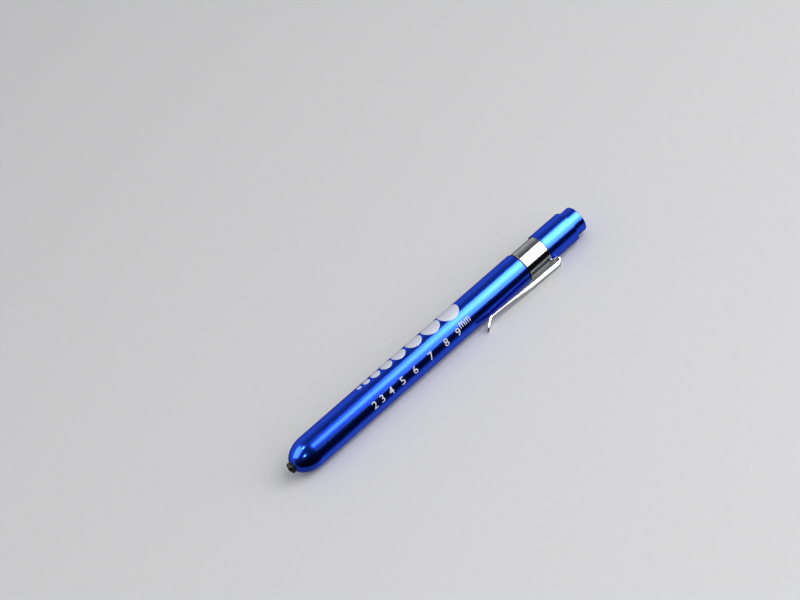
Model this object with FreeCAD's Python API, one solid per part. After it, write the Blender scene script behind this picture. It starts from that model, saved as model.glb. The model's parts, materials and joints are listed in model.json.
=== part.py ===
# Aluminium penlight with a chrome pocket clip, a pupil gauge on its barrel and a push-button tail switch.
# The pen lies on its side: +X runs from the lamp to the tail button, and +Z is up.
# It rests on the barrel's underside and on the lower edge of the clip, both at Z = 0.
# All pieces are built about the pen's own axis, with x = 0 at the lamp's tip, and moved together at the end.
# Lengths are millimetres and angles are degrees.

import FreeCAD, Part
import math
import os

V = FreeCAD.Vector

# Driving dimensions

OVERALL = 140.45
BARREL_R = 6.1
BORE_R = 5.45
BARREL_END = 110.95
BAND_START = 111.45
BAND_END = 121.65
TAIL_CAP_START = 121.8
TAIL_CAP_END = 135.4
EDGE_BREAK = 0.2

NOSE_CENTRE = 10.3
NOSE_LENGTH = 8.89
NOSE_CAVITY_LENGTH = 7.4
MOUTH_R = 2.1

CELL_R = 5.25
CELL_LENGTH = 44.5
NIPPLE_R = 1.9
NIPPLE_HEIGHT = 0.8
CAN_R = 5.1
CAN_WALL = 0.2
FRONT_CELL_START = 15.2

NECK_R = 5.65
SPIGOT_START = 105.0
SPIGOT_R = 5.4
SPIGOT_BORE_R = 4.8
THREAD_PITCH = 1.0
THREAD_DEPTH = 0.25
THREAD_LENGTH = 6.0

BUTTON_R = 5.1
BUTTON_BORE_R = 5.15
BUTTON_START = 128.6
BUTTON_INNER_R = 4.2
BUTTON_END_WALL = 1.2
BUTTON_EDGE_R = 0.5
SNAP_GROOVE_START = 126.0
SNAP_GROOVE_END = 129.7
SNAP_GROOVE_R = 5.45
SNAP_BEAD_R = 5.38

CLIP_SHEET = 0.5
CLIP_HALF_WIDTH = 1.8
CLIP_FOLD_R = 1.02
CLIP_FOLD_X = 122.53
TONGUE_R = 6.7
ARM_R = TONGUE_R + 2 * CLIP_FOLD_R
BAND_INNER_R = 5.7
BAND_SHEET = 0.35
BAND_GAP_HALF_ANGLE = 50.0

HOUSING_START = 112.0
HOUSING_END = 124.2
HOUSING_WALL = 0.8
HOUSING_BORE_R = 3.5
BODY_CONTACT_SHEET = 0.3
RETAINER_END = 125.8
CONTACT_SHEET = 0.4
MOVING_DISC_START = 117.5
MOVING_DISC_SHEET = 0.35
ROTOR_START = 117.95
ROTOR_END = 120.4
KEY_COUNT = 4

FULL_TURN = 360.0
GAP = 0.05

# The clip's angle about the pen's axis puts its lower corner level with the barrel's underside.

ARM_OUTER_R = ARM_R + CLIP_SHEET / 2
CLIP_CORNER_R = math.hypot(ARM_OUTER_R, CLIP_HALF_WIDTH)
CLIP_ANGLE = (
    180.0
    + math.degrees(math.asin(BARREL_R / CLIP_CORNER_R))
    - math.degrees(math.atan2(CLIP_HALF_WIDTH, ARM_OUTER_R))
)


# Shape helpers


def ring(start, end, outer_r, inner_r=0.0):
    """A tube, or a disc when inner_r is 0, about the pen's axis."""
    body = Part.makeCylinder(outer_r, end - start, V(start, 0, 0), V(1, 0, 0))
    if inner_r > 0:
        body = body.cut(Part.makeCylinder(inner_r, end - start, V(start, 0, 0), V(1, 0, 0)))
    return body


def lathe(corners):
    """A solid of revolution about the pen's axis, from the (x, radius) corners of its section."""
    points = [V(x, r, 0) for x, r in corners]
    section = Part.Face(Part.makePolygon(points + points[:1]))
    return section.revolve(V(0, 0, 0), V(1, 0, 0), FULL_TURN)


def block(x0, x1, y0, y1, z0, z1):
    """A box between two corners."""
    return Part.makeBox(x1 - x0, y1 - y0, z1 - z0, V(x0, y0, z0))


def turned(shape, angle):
    """A copy of the shape, turned about the pen's axis from +Y towards +Z."""
    copy = shape.copy()
    copy.rotate(V(0, 0, 0), V(1, 0, 0), angle)
    return copy


def fused(shapes):
    """One solid out of touching ones, with its split faces merged."""
    whole = shapes[0].multiFuse(shapes[1:]) if len(shapes) > 1 else shapes[0]
    return whole.removeSplitter()


def ellipse_arc(centre_x, length, radius, end_r):
    """A quarter-ellipse in the XY plane from height end_r near the nose to the full radius, with its ends."""
    ellipse = Part.Ellipse(V(centre_x - length, 0, 0), V(centre_x, radius, 0), V(centre_x, 0, 0))
    sweep = math.acos(math.sqrt(1 - (end_r / radius) ** 2))
    first = V(centre_x - length * math.cos(sweep), end_r, 0)
    last = V(centre_x, radius, 0)
    a, b = sorted((ellipse.parameter(first), ellipse.parameter(last)))
    return Part.ArcOfEllipse(ellipse, a, b).toShape(), first, last


def side_of_path(corners, offset):
    """The corners of a path (x, y, bend radius) moved sideways, with their bend radii to suit."""
    moved = []
    for i, (x, y, bend) in enumerate(corners):
        before = corners[max(i - 1, 0)]
        after = corners[min(i + 1, len(corners) - 1)]
        into = V(x - before[0], y - before[1], 0) if i > 0 else None
        out = V(after[0] - x, after[1] - y, 0) if i < len(corners) - 1 else into
        into = into or out
        into = into * (1 / into.Length)
        out = out * (1 / out.Length)
        left_in = V(-into.y, into.x, 0)
        left_out = V(-out.y, out.x, 0)
        middle = left_in + left_out
        mitre = middle * (2 * offset / middle.dot(middle))
        turn = into.cross(out).z
        radius = max(bend - math.copysign(offset, turn), 0.0) if bend > 0 else 0.0
        moved.append((x + mitre.x, y + mitre.y, radius))
    return moved


def rounded_edges(corners):
    """Lines through the corners (x, y, bend radius), with an arc at each corner that has a radius."""
    edges = []
    start = V(corners[0][0], corners[0][1], 0)
    for i in range(1, len(corners) - 1):
        corner = V(corners[i][0], corners[i][1], 0)
        back = (start - corner).normalize()
        ahead = (V(corners[i + 1][0], corners[i + 1][1], 0) - corner).normalize()
        bend = corners[i][2]
        if bend <= 0:
            edges.append(Part.makeLine(start, corner))
            start = corner
            continue
        half = back.getAngle(ahead) / 2
        reach = bend / math.tan(half)
        first = corner + back * reach
        last = corner + ahead * reach
        inward = (back + ahead).normalize()
        middle = corner + inward * (bend / math.sin(half) - bend)
        edges.append(Part.makeLine(start, first))
        edges.append(Part.Arc(first, middle, last).toShape())
        start = last
    edges.append(Part.makeLine(start, V(corners[-1][0], corners[-1][1], 0)))
    return edges


def bent_strip(corners, thickness, half_width):
    """A strip of sheet or wire, bent in the XY plane along its centreline and as wide along Z."""
    left = rounded_edges(side_of_path(corners, thickness / 2))
    right = rounded_edges(side_of_path(corners, -thickness / 2))
    caps = [
        Part.makeLine(left[0].Vertexes[0].Point, right[0].Vertexes[0].Point),
        Part.makeLine(left[-1].Vertexes[-1].Point, right[-1].Vertexes[-1].Point),
    ]
    outline = Part.Wire(Part.__sortEdges__(left + right + caps))
    strip = Part.Face(outline).extrude(V(0, 0, 2 * half_width))
    strip.translate(V(0, 0, -half_width))
    return strip


def coil_spring(start, end, start_r, end_r, wire_r, turns):
    """A round-wire spring about the pen's axis, from one mean radius to the other."""
    length = end - start - 2 * wire_r
    spread = math.degrees(math.atan2(end_r - start_r, length))
    helix = Part.makeHelix(length / turns, length, start_r, spread)
    section = Part.Wire(Part.makeCircle(wire_r, V(start_r, 0, 0), V(0, 1, 0)))
    spring = Part.Wire(helix.Edges).makePipeShell([section], True, True)
    spring.rotate(V(0, 0, 0), V(0, 1, 0), 90)
    spring.translate(V(start + wire_r, 0, 0))
    return spring


# Lamp end


def make_barrel():
    """The blue tube: a bullet nose with a round mouth, and one bore for both cells."""
    outer, mouth_out, shoulder = ellipse_arc(NOSE_CENTRE, NOSE_LENGTH, BARREL_R, MOUTH_R)
    inner, mouth_in, bore_front = ellipse_arc(NOSE_CENTRE, NOSE_CAVITY_LENGTH, BORE_R, MOUTH_R)
    chain = [
        shoulder,
        V(BARREL_END - EDGE_BREAK, BARREL_R, 0),
        V(BARREL_END, BARREL_R - EDGE_BREAK, 0),
        V(BARREL_END, BORE_R, 0),
        bore_front,
    ]
    edges = [outer, inner, Part.makeLine(mouth_out, mouth_in)]
    edges += [Part.makeLine(a, b) for a, b in zip(chain, chain[1:])]
    section = Part.Face(Part.Wire(Part.__sortEdges__(edges)))
    return section.revolve(V(0, 0, 0), V(1, 0, 0), FULL_TURN)


LED_R = 1.5
LED_FLANGE_R = 1.9
LED_FLANGE_START = 4.3
LED_FLANGE_END = 5.3
BUSH_LIP = 0.6
BUSH_LIP_R = 0.25
BUSH_FLANGE_R = 3.0
BUSH_FLANGE_END = 6.3
HOLDER_START = 6.4
HOLDER_END = 14.0
HOLDER_R = 5.35
HOLDER_FACE_R = 4.3
HOLDER_SHOULDER = (8.6, 5.15)
LEAD_OFFSET = 1.27
LEAD_HALF = 0.25
LEAD_HOLE_HALF = 0.35


def make_lamp_bush():
    """The black bush in the barrel's mouth, flanged inside the nose, with the lamp through it."""
    outer_r = MOUTH_R - GAP
    bore_r = LED_R + GAP
    return lathe(
        [
            (BUSH_LIP, bore_r),
            (BUSH_LIP, outer_r - BUSH_LIP_R),
            (BUSH_LIP + BUSH_LIP_R, outer_r),
            (LED_FLANGE_START, outer_r),
            (LED_FLANGE_START, BUSH_FLANGE_R),
            (BUSH_FLANGE_END, BUSH_FLANGE_R),
            (BUSH_FLANGE_END, LED_FLANGE_R + GAP),
            (LED_FLANGE_START, LED_FLANGE_R + GAP),
            (LED_FLANGE_START, bore_r),
        ]
    )


def make_led_lamp():
    """The clear lamp: a domed body with a flange at its base."""
    dome = Part.makeSphere(LED_R, V(LED_R, 0, 0))
    body = ring(LED_R, LED_FLANGE_START, LED_R)
    flange = ring(LED_FLANGE_START, LED_FLANGE_END, LED_FLANGE_R)
    return fused([dome, body, flange])


LEAD_GROOVE_X = HOLDER_START + LEAD_HOLE_HALF
GROOVE_END = 7.2
GROOVE_END_R = 3.9
GROOVE_KNEE = 10.4
LEAD_BEND_R = 0.4
LEAD_CORNER_R = 4.2
LEAD_KNEE_BEND_R = 1.0
LEAD_SHORT = 1.0
LEAD_PLAY = 0.01
LEAD_RUN_R = BORE_R - LEAD_HALF - LEAD_PLAY
NEGATIVE_LEAD = [
    (LED_FLANGE_END, -LEAD_OFFSET, 0),
    (LEAD_GROOVE_X, -LEAD_OFFSET, LEAD_BEND_R),
    (LEAD_GROOVE_X, -LEAD_CORNER_R, LEAD_BEND_R),
    (GROOVE_KNEE, -LEAD_RUN_R, LEAD_KNEE_BEND_R),
    (HOLDER_END - LEAD_SHORT, -LEAD_RUN_R, 0),
]


def make_led_leads():
    """The two wires of the lamp: one to the cell contact, one bent out to touch the barrel."""
    positive = block(
        LED_FLANGE_END,
        HOLDER_END,
        LEAD_OFFSET - LEAD_HALF,
        LEAD_OFFSET + LEAD_HALF,
        -LEAD_HALF,
        LEAD_HALF,
    )
    negative = bent_strip(NEGATIVE_LEAD, 2 * LEAD_HALF, LEAD_HALF)
    return Part.makeCompound([positive, negative])


def make_lamp_holder():
    """The insulating plug behind the lamp, with a hole and an outside groove for its wires."""
    plug = lathe(
        [
            (HOLDER_START, 0),
            (HOLDER_START, HOLDER_FACE_R),
            HOLDER_SHOULDER,
            (NOSE_CENTRE, HOLDER_R),
            (HOLDER_END, HOLDER_R),
            (HOLDER_END, 0),
        ]
    )
    hole = block(
        HOLDER_START,
        HOLDER_END,
        LEAD_OFFSET - LEAD_HOLE_HALF,
        LEAD_OFFSET + LEAD_HOLE_HALF,
        -LEAD_HOLE_HALF,
        LEAD_HOLE_HALF,
    )
    inner_end = LEAD_HOLE_HALF - LEAD_OFFSET
    groove_face = block(HOLDER_START, GROOVE_END, -CELL_R, inner_end, -LEAD_HOLE_HALF, LEAD_HOLE_HALF)
    floor_r = HOLDER_R - 2 * LEAD_HALF
    groove_corners = [
        (GROOVE_END, -GROOVE_END_R),
        (GROOVE_KNEE, -floor_r),
        (HOLDER_END, -floor_r),
        (HOLDER_END, -BARREL_R),
        (GROOVE_END, -BARREL_R),
    ]
    points = [V(x, y, -LEAD_HOLE_HALF) for x, y in groove_corners]
    groove_side = Part.Face(Part.makePolygon(points + points[:1])).extrude(V(0, 0, 2 * LEAD_HOLE_HALF))
    return plug.cut(hole).cut(groove_face).cut(groove_side)


FRONT_CONTACT_R = 3.5
FRONT_CONTACT_BOSS_R = 1.6


def make_front_contact():
    """The brass disc that the front cell's nipple presses on."""
    disc = ring(HOLDER_END, HOLDER_END + CONTACT_SHEET, FRONT_CONTACT_R)
    boss = ring(HOLDER_END + CONTACT_SHEET, FRONT_CELL_START, FRONT_CONTACT_BOSS_R)
    return fused([disc, boss])


# Cells


CAN_SHORT = 0.5
SEAL_DEPTH = 1.1
NEGATIVE_CAP_R = 3.9
JACKET_SHORT = 0.3
JACKET_FRONT = 0.1
JACKET_FRONT_R = 3.6
JACKET_REAR_R = 4.3


def make_cell(start):
    """The five pieces of one AAA cell, its nipple towards the lamp."""
    body_start = start + NIPPLE_HEIGHT
    end = start + CELL_LENGTH
    can_end = end - CAN_SHORT
    seal_start = end - SEAL_DEPTH
    jacket_start = body_start - JACKET_FRONT
    jacket_end = end - JACKET_SHORT
    can = fused(
        [
            ring(start, body_start + CONTACT_SHEET, NIPPLE_R),
            ring(body_start, body_start + CONTACT_SHEET, CAN_R),
            ring(body_start + CONTACT_SHEET, can_end, CAN_R, CAN_R - CAN_WALL),
        ]
    )
    jacket = fused(
        [
            ring(jacket_start, jacket_end, CELL_R, CAN_R),
            ring(jacket_start, body_start, CAN_R, JACKET_FRONT_R),
            ring(can_end, jacket_end, CAN_R, JACKET_REAR_R),
        ]
    )
    return {
        "can": can,
        "core": ring(body_start + CONTACT_SHEET, seal_start, CAN_R - CAN_WALL),
        "seal": ring(seal_start, can_end, CAN_R - CAN_WALL, NEGATIVE_CAP_R),
        "negative_cap": ring(seal_start, end, NEGATIVE_CAP_R),
        "jacket": jacket,
    }


# Clip: one bent strip of polished steel. The band and tongue are one rigid piece, the arm the other,
# and the thin slot between them in the fold is the room that the arm's flexing takes up.

FOLD_CENTRE_R = TONGUE_R + CLIP_FOLD_R
FOLD_END_X = CLIP_FOLD_X + CLIP_FOLD_R
FLEX_SLOT = 0.25
CHANNEL_WALL = 0.4

# The path's corners are (x, distance from the pen's axis, bend radius).
ARM_PATH = [
    (FOLD_END_X, FOLD_CENTRE_R - GAP, 0),
    (FOLD_END_X, ARM_R, CLIP_FOLD_R),
    (110.0, 8.5, 80.0),
    (89.7, 7.2, 2.6),
    (85.3, 10.2, 0),
]
TIP_X = 85.0
TIP_HALF_WIDTH = 1.25
BEND_X = 90.0
BEND_HALF_WIDTH = 1.3
TAPER_START_X = 106.0


def make_clip_ring():
    """The open band round the neck, with the raised tongue that leads into the clip's fold."""
    reach = 2 * BARREL_R
    band = ring(BAND_START, BAND_END, BAND_INNER_R + BAND_SHEET, BAND_INNER_R)
    gap = math.radians(BAND_GAP_HALF_ANGLE)
    wedge_points = [
        V(BAND_START, 0, 0),
        V(BAND_START, -reach * math.cos(gap), -reach * math.sin(gap)),
        V(BAND_START, -2 * reach, 0),
        V(BAND_START, -reach * math.cos(gap), reach * math.sin(gap)),
        V(BAND_START, 0, 0),
    ]
    wedge = Part.Face(Part.makePolygon(wedge_points)).extrude(V(BAND_END - BAND_START, 0, 0))
    band = band.cut(wedge)

    inner_half = CLIP_HALF_WIDTH - CHANNEL_WALL
    tongue_under = TONGUE_R - CLIP_SHEET / 2
    channel = block(BAND_START, BAND_END, 0, tongue_under, -CLIP_HALF_WIDTH, CLIP_HALF_WIDTH)
    hollow = block(BAND_START, BAND_END, 0, tongue_under, -inner_half, inner_half)
    neck_room = ring(BAND_START, BAND_END, BAND_INNER_R)
    walls = channel.cut(hollow).cut(neck_room)
    band = band.cut(hollow)

    tongue_path = [
        (BAND_START, TONGUE_R, 0),
        (FOLD_END_X, TONGUE_R, CLIP_FOLD_R),
        (FOLD_END_X, FOLD_CENTRE_R + GAP, 0),
    ]
    tongue = bent_strip(tongue_path, CLIP_SHEET, CLIP_HALF_WIDTH)
    slot = block(
        CLIP_FOLD_X,
        FOLD_END_X + CLIP_SHEET,
        FOLD_CENTRE_R - GAP - FLEX_SLOT,
        FOLD_CENTRE_R + CLIP_SHEET,
        -reach,
        reach,
    )
    return turned(fused([band, walls, tongue.cut(slot)]), CLIP_ANGLE)


def make_clip_arm():
    """The springy arm: parallel to the barrel, then in to its bend, then out to a rounded lead-in tip."""
    strip = bent_strip(ARM_PATH, CLIP_SHEET, CLIP_HALF_WIDTH)
    tip_centre_x = TIP_X + TIP_HALF_WIDTH
    right = [
        V(tip_centre_x, 0, TIP_HALF_WIDTH),
        V(BEND_X, 0, BEND_HALF_WIDTH),
        V(TAPER_START_X, 0, CLIP_HALF_WIDTH),
        V(FOLD_END_X + CLIP_SHEET, 0, CLIP_HALF_WIDTH),
    ]
    left = [V(p.x, 0, -p.z) for p in reversed(right)]
    outline = right + left
    edges = [Part.makeLine(a, b) for a, b in zip(outline, outline[1:])]
    edges.append(Part.Arc(left[-1], V(TIP_X, 0, 0), right[0]).toShape())
    plan = Part.Face(Part.Wire(Part.__sortEdges__(edges)))
    return turned(strip.common(plan.extrude(V(0, 3 * BARREL_R, 0))), CLIP_ANGLE)


# Tail


GROOVE_HALF = 0.35 * THREAD_PITCH


def make_tail_cap():
    """The blue tail: grooved spigot in the barrel, bare neck under the band, and the full-width cap."""
    spigot_end = SPIGOT_START + THREAD_LENGTH
    corners = [(SPIGOT_START, SPIGOT_BORE_R), (SPIGOT_START, SPIGOT_R)]
    for groove in range(int(THREAD_LENGTH / THREAD_PITCH)):
        root = SPIGOT_START + (groove + 0.5) * THREAD_PITCH
        corners += [
            (root - GROOVE_HALF, SPIGOT_R),
            (root, SPIGOT_R - THREAD_DEPTH),
            (root + GROOVE_HALF, SPIGOT_R),
        ]
    corners += [
        (spigot_end, SPIGOT_R),
        (spigot_end, NECK_R),
        (TAIL_CAP_START, NECK_R),
        (TAIL_CAP_START, BARREL_R - EDGE_BREAK),
        (TAIL_CAP_START + EDGE_BREAK, BARREL_R),
        (TAIL_CAP_END - EDGE_BREAK, BARREL_R),
        (TAIL_CAP_END, BARREL_R - EDGE_BREAK),
        (TAIL_CAP_END, BUTTON_BORE_R),
        (SNAP_GROOVE_END, BUTTON_BORE_R),
        (SNAP_GROOVE_END, SNAP_GROOVE_R),
        (SNAP_GROOVE_START, SNAP_GROOVE_R),
        (SNAP_GROOVE_START, SPIGOT_BORE_R),
    ]
    return lathe(corners)


FIXED_CONTACT_R = 4.2
STEM_HOLE_R = 1.0
STEM_SHORT = 0.15


def make_fixed_contact():
    """The brass plate under the cell spring, with a stem through the switch housing's front wall."""
    plate = ring(HOUSING_START - CONTACT_SHEET, HOUSING_START, FIXED_CONTACT_R)
    stem = ring(HOUSING_START, HOUSING_START + HOUSING_WALL - STEM_SHORT, STEM_HOLE_R)
    return fused([plate, stem])


KEY_HALF = 0.45
KEY_INNER_R = 2.8
KEY_START = 120.7
KEY_ROOT = 0.2


def keys(start, end, inner_r, outer_r, half_width):
    """Evenly spaced radial ribs about the pen's axis."""
    rib = block(start, end, inner_r, outer_r, -half_width, half_width)
    return [turned(rib, FULL_TURN * i / KEY_COUNT) for i in range(KEY_COUNT)]


def make_switch_housing():
    """The plastic cup of the latch switch, closed in front, with guide ribs for the plunger."""
    front = ring(HOUSING_START, HOUSING_START + HOUSING_WALL, SPIGOT_BORE_R, STEM_HOLE_R)
    wall = ring(HOUSING_START + HOUSING_WALL, HOUSING_END, SPIGOT_BORE_R, HOUSING_BORE_R)
    ribs = keys(KEY_START, HOUSING_END, KEY_INNER_R, HOUSING_BORE_R + KEY_ROOT, KEY_HALF)
    return fused([front, wall] + ribs)


PIN_TIP = 115.15
PIN_R = 0.6
MOVING_DISC_R = 3.0


def make_moving_contact():
    """The brass washer ahead of the rotor, whose pin meets the fixed contact when pressed."""
    disc = ring(MOVING_DISC_START, MOVING_DISC_START + MOVING_DISC_SHEET, MOVING_DISC_R)
    pin = ring(PIN_TIP, MOVING_DISC_START, PIN_R)
    return fused([disc, pin])


PILOT_R = 1.0
ROTOR_CORE_R = 2.6
CROWN_R = 3.3


def make_latch_rotor():
    """The latch's indexing rotor: a bored hub with radial lugs, turning on the plunger's pilot."""
    hub = ring(ROTOR_START, ROTOR_END, ROTOR_CORE_R, PILOT_R + GAP)
    lugs = keys(ROTOR_START, ROTOR_END, ROTOR_CORE_R - KEY_ROOT, CROWN_R - GAP, KEY_HALF)
    return fused([hub] + lugs)


PLUNGER_R = 2.2
CROWN_START = ROTOR_END + GAP
CROWN_END = 123.9
KEY_PLAY = 0.1
BUTTON_FLOOR = OVERALL - BUTTON_END_WALL


def make_switch_plunger():
    """The plastic rod behind the button: a keyed crown, a pilot for the rotor and a long stem."""
    crown = ring(CROWN_START, CROWN_END, CROWN_R)
    for keyway in keys(CROWN_START, CROWN_END, KEY_INNER_R - KEY_PLAY, BARREL_R, KEY_HALF + KEY_PLAY):
        crown = crown.cut(keyway)
    pilot = ring(ROTOR_START + KEY_PLAY, CROWN_START, PILOT_R)
    stem = ring(CROWN_END, BUTTON_FLOOR, PLUNGER_R)
    return fused([crown, pilot, stem])


BODY_CONTACT_INNER_R = 3.6


def make_body_contact_ring():
    """The brass ring that takes the switch's current to the tail cap's wall."""
    return ring(HOUSING_END, HOUSING_END + BODY_CONTACT_SHEET, SPIGOT_BORE_R, BODY_CONTACT_INNER_R)


RETAINER_INNER_R = 2.5
NOTCH_START = 125.0
NOTCH_INNER_R = 3.3
NOTCH_OUTER_R = 4.2
NOTCH_HALF = 0.5


def make_switch_retainer():
    """The ring pressed in behind the switch, with two notches for a pin spanner."""
    body = ring(HOUSING_END + BODY_CONTACT_SHEET, RETAINER_END, SPIGOT_BORE_R, RETAINER_INNER_R)
    notch = block(NOTCH_START, RETAINER_END, NOTCH_INNER_R, NOTCH_OUTER_R, -NOTCH_HALF, NOTCH_HALF)
    return body.cut(notch).cut(turned(notch, FULL_TURN / 2))


BEAD_START = BUTTON_START + 0.15
BEAD_END = SNAP_GROOVE_END - 0.1


def make_push_button():
    """The blue button: a cup with a snap bead at its skirt and a flat, round-edged end."""
    cup = lathe(
        [
            (BUTTON_START, BUTTON_INNER_R),
            (BUTTON_START, BUTTON_R),
            (BEAD_START, SNAP_BEAD_R),
            (BEAD_END, SNAP_BEAD_R),
            (BEAD_END, BUTTON_R),
            (OVERALL, BUTTON_R),
            (OVERALL, 0),
            (BUTTON_FLOOR, 0),
            (BUTTON_FLOOR, BUTTON_INNER_R),
        ]
    )
    rim = [
        edge
        for edge in cup.Edges
        if edge.BoundBox.XMin > OVERALL - 0.01 and edge.BoundBox.YMax > BUTTON_R - 0.01
    ]
    return cup.makeFillet(BUTTON_EDGE_R, rim)


# Springs


def make_battery_spring():
    """The conical spring that presses the cells forward, wide end on the fixed contact."""
    start = FRONT_CELL_START + 2 * CELL_LENGTH
    return coil_spring(start, HOUSING_START - CONTACT_SHEET, start_r=2.5, end_r=4.0, wire_r=0.3, turns=5)


def make_return_spring():
    """The straight spring that pushes the button back out."""
    start = HOUSING_START + HOUSING_WALL
    return coil_spring(start, MOVING_DISC_START, start_r=2.2, end_r=2.2, wire_r=0.25, turns=4)


def build():
    """Every node of the pen, about its own axis."""
    nodes = {
        "barrel": make_barrel(),
        "lamp_bush": make_lamp_bush(),
        "led_lamp": make_led_lamp(),
        "led_leads": make_led_leads(),
        "lamp_holder": make_lamp_holder(),
        "front_contact": make_front_contact(),
        "clip_ring": make_clip_ring(),
        "clip_arm": make_clip_arm(),
        "tail_cap": make_tail_cap(),
        "battery_spring": make_battery_spring(),
        "fixed_contact": make_fixed_contact(),
        "switch_housing": make_switch_housing(),
        "return_spring": make_return_spring(),
        "moving_contact": make_moving_contact(),
        "latch_rotor": make_latch_rotor(),
        "switch_plunger": make_switch_plunger(),
        "body_contact_ring": make_body_contact_ring(),
        "switch_retainer": make_switch_retainer(),
        "push_button": make_push_button(),
    }
    for index, place in enumerate(("front", "rear")):
        for piece, shape in make_cell(FRONT_CELL_START + index * CELL_LENGTH).items():
            nodes[f"{place}_cell_{piece}"] = shape
    return nodes


def main():
    """Move the pen so that its box stands centred on the origin, and write every node."""
    nodes = build()
    clip_low_y = nodes["clip_arm"].optimalBoundingBox(False, False).YMin
    axis_y = -(clip_low_y + BARREL_R) / 2
    shift = V(-OVERALL / 2, axis_y, BARREL_R)
    os.makedirs("parts", exist_ok=True)
    for name, shape in nodes.items():
        shape.translate(shift)
        if not shape.isValid():
            print("not valid:", name)
        shape.exportStep(f"parts/{name}.step")
    print(f"pen axis at y = {axis_y:.4f}, z = {BARREL_R:.4f}; clip angle {CLIP_ANGLE:.4f}")
    print(f"{len(nodes)} nodes")


main()
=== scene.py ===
# Looks of an aluminium penlight with a chrome pocket clip and a pupil gauge, built round its CAD frame.
# Lengths are in millimetres unless a comment says metres, and MM turns them into the scene's metres.
# Along the pen, x counts from the lamp's tip. Round the pen, angles count from +Y towards +Z.

import json
import math

import bmesh
import bpy
from mathutils import Matrix, Quaternion, Vector


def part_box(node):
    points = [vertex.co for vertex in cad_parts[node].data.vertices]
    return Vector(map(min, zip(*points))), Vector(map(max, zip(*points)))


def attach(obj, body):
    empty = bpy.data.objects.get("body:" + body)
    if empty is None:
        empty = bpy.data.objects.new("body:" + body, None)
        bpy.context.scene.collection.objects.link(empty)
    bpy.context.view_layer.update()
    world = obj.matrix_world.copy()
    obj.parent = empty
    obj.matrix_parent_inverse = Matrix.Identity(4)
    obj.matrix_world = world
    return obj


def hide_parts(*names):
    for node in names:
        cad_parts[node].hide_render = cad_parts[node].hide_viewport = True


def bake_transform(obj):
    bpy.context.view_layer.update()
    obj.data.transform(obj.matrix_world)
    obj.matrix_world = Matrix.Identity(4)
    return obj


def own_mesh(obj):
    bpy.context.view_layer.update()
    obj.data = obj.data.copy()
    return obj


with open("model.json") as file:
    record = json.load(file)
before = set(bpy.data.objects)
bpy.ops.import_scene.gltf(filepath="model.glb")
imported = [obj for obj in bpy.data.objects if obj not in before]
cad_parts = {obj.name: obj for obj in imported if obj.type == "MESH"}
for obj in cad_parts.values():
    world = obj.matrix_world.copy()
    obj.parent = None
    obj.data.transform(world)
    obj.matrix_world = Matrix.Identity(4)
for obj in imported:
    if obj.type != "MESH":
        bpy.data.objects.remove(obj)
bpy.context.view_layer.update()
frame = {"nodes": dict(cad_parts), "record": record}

MM = 0.001
BARREL_LOW, BARREL_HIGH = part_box("barrel")
TIP_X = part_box("led_lamp")[0].x
AXIS_Y = (BARREL_LOW.y + BARREL_HIGH.y) / 2
AXIS_Z = (BARREL_LOW.z + BARREL_HIGH.z) / 2
BARREL_R = (BARREL_HIGH.z - BARREL_LOW.z) / 2 / MM


def stations(node):
    """Where a CAD node starts and ends along the pen."""
    low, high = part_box(node)
    return (low.x - TIP_X) / MM, (high.x - TIP_X) / MM


# The pen's stations and radii: the CAD's own, with a relief, a gap and a seat that only the looks have

BARREL_END = stations("barrel")[1]
BORE_R = 5.45
NOSE_CENTRE = 10.3
NOSE_LENGTH = 8.89
NOSE_CAVITY_LENGTH = 7.4
MOUTH_R = 2.1
MOUTH_BREAK_R = 0.15
MOUTH_BREAK_LENGTH = 0.12
BORE_BREAK = 0.1

SPIGOT_START, TAIL_CAP_END = stations("tail_cap")
SPIGOT_R = 5.4
SPIGOT_BORE_R = 4.8
THREAD_PITCH = 1.0
THREAD_LENGTH = 6.0
THREAD_DEPTH = 0.25
THREAD_STEP = 0.1
THREAD_FLANK = 0.36
THREAD_FADE = 0.8
NECK_R = 5.65
RELIEF_R = 5.25
TAIL_CAP_START = 121.8
BUTTON_BORE_R = 5.15
MOUTH_GAP_R = 5.32
MOUTH_GAP_DEPTH = 0.35
SNAP_GROOVE_START = 126.0
SNAP_GROOVE_END = 129.7
SNAP_GROOVE_R = 5.45

BUTTON_START, OVERALL = stations("push_button")
BUTTON_R = 5.1
BUTTON_INNER_R = 4.2
BUTTON_FLOOR = 139.25
BUTTON_EDGE_R = 0.5
SNAP_BEAD_R = 5.38

CLIP_SHEET = 0.5
CLIP_HALF_WIDTH = 1.8
CLIP_FOLD_R = 1.02
BAND_START, FOLD_OUTER_X = stations("clip_ring")
FOLD_END_X = FOLD_OUTER_X - CLIP_SHEET / 2
TONGUE_R = 6.7
SEAT_R = 6.0
ARM_R = TONGUE_R + 2 * CLIP_FOLD_R
BAND_R = 5.875
BAND_SHEET = 0.35
BAND_END = 121.65
BAND_EDGE = 0.08
BAND_GAP_HALF_ANGLE = 50.0

# The clip leans over until its lower corner is level with the barrel's underside.
ARM_OUTER_R = ARM_R + CLIP_SHEET / 2
CLIP_ANGLE = 180.0 + math.degrees(
    math.asin(BARREL_R / math.hypot(ARM_OUTER_R, CLIP_HALF_WIDTH)) - math.atan2(CLIP_HALF_WIDTH, ARM_OUTER_R)
)

# The visible skin stays a hair inside the CAD barrel, so that the ink on it does too.
SKIN_R = BARREL_R - 0.012
INK_THICKNESS = 0.04
EDGE_EASE = 0.1
EDGE_WEAR_REACH = 0.1


def at(x, radius, angle):
    """A point of the scene, from the pen's own station, radius and angle."""
    turn = math.radians(angle)
    return Vector((
        TIP_X + x * MM,
        AXIS_Y + radius * math.cos(turn) * MM,
        AXIS_Z + radius * math.sin(turn) * MM,
    ))


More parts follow.
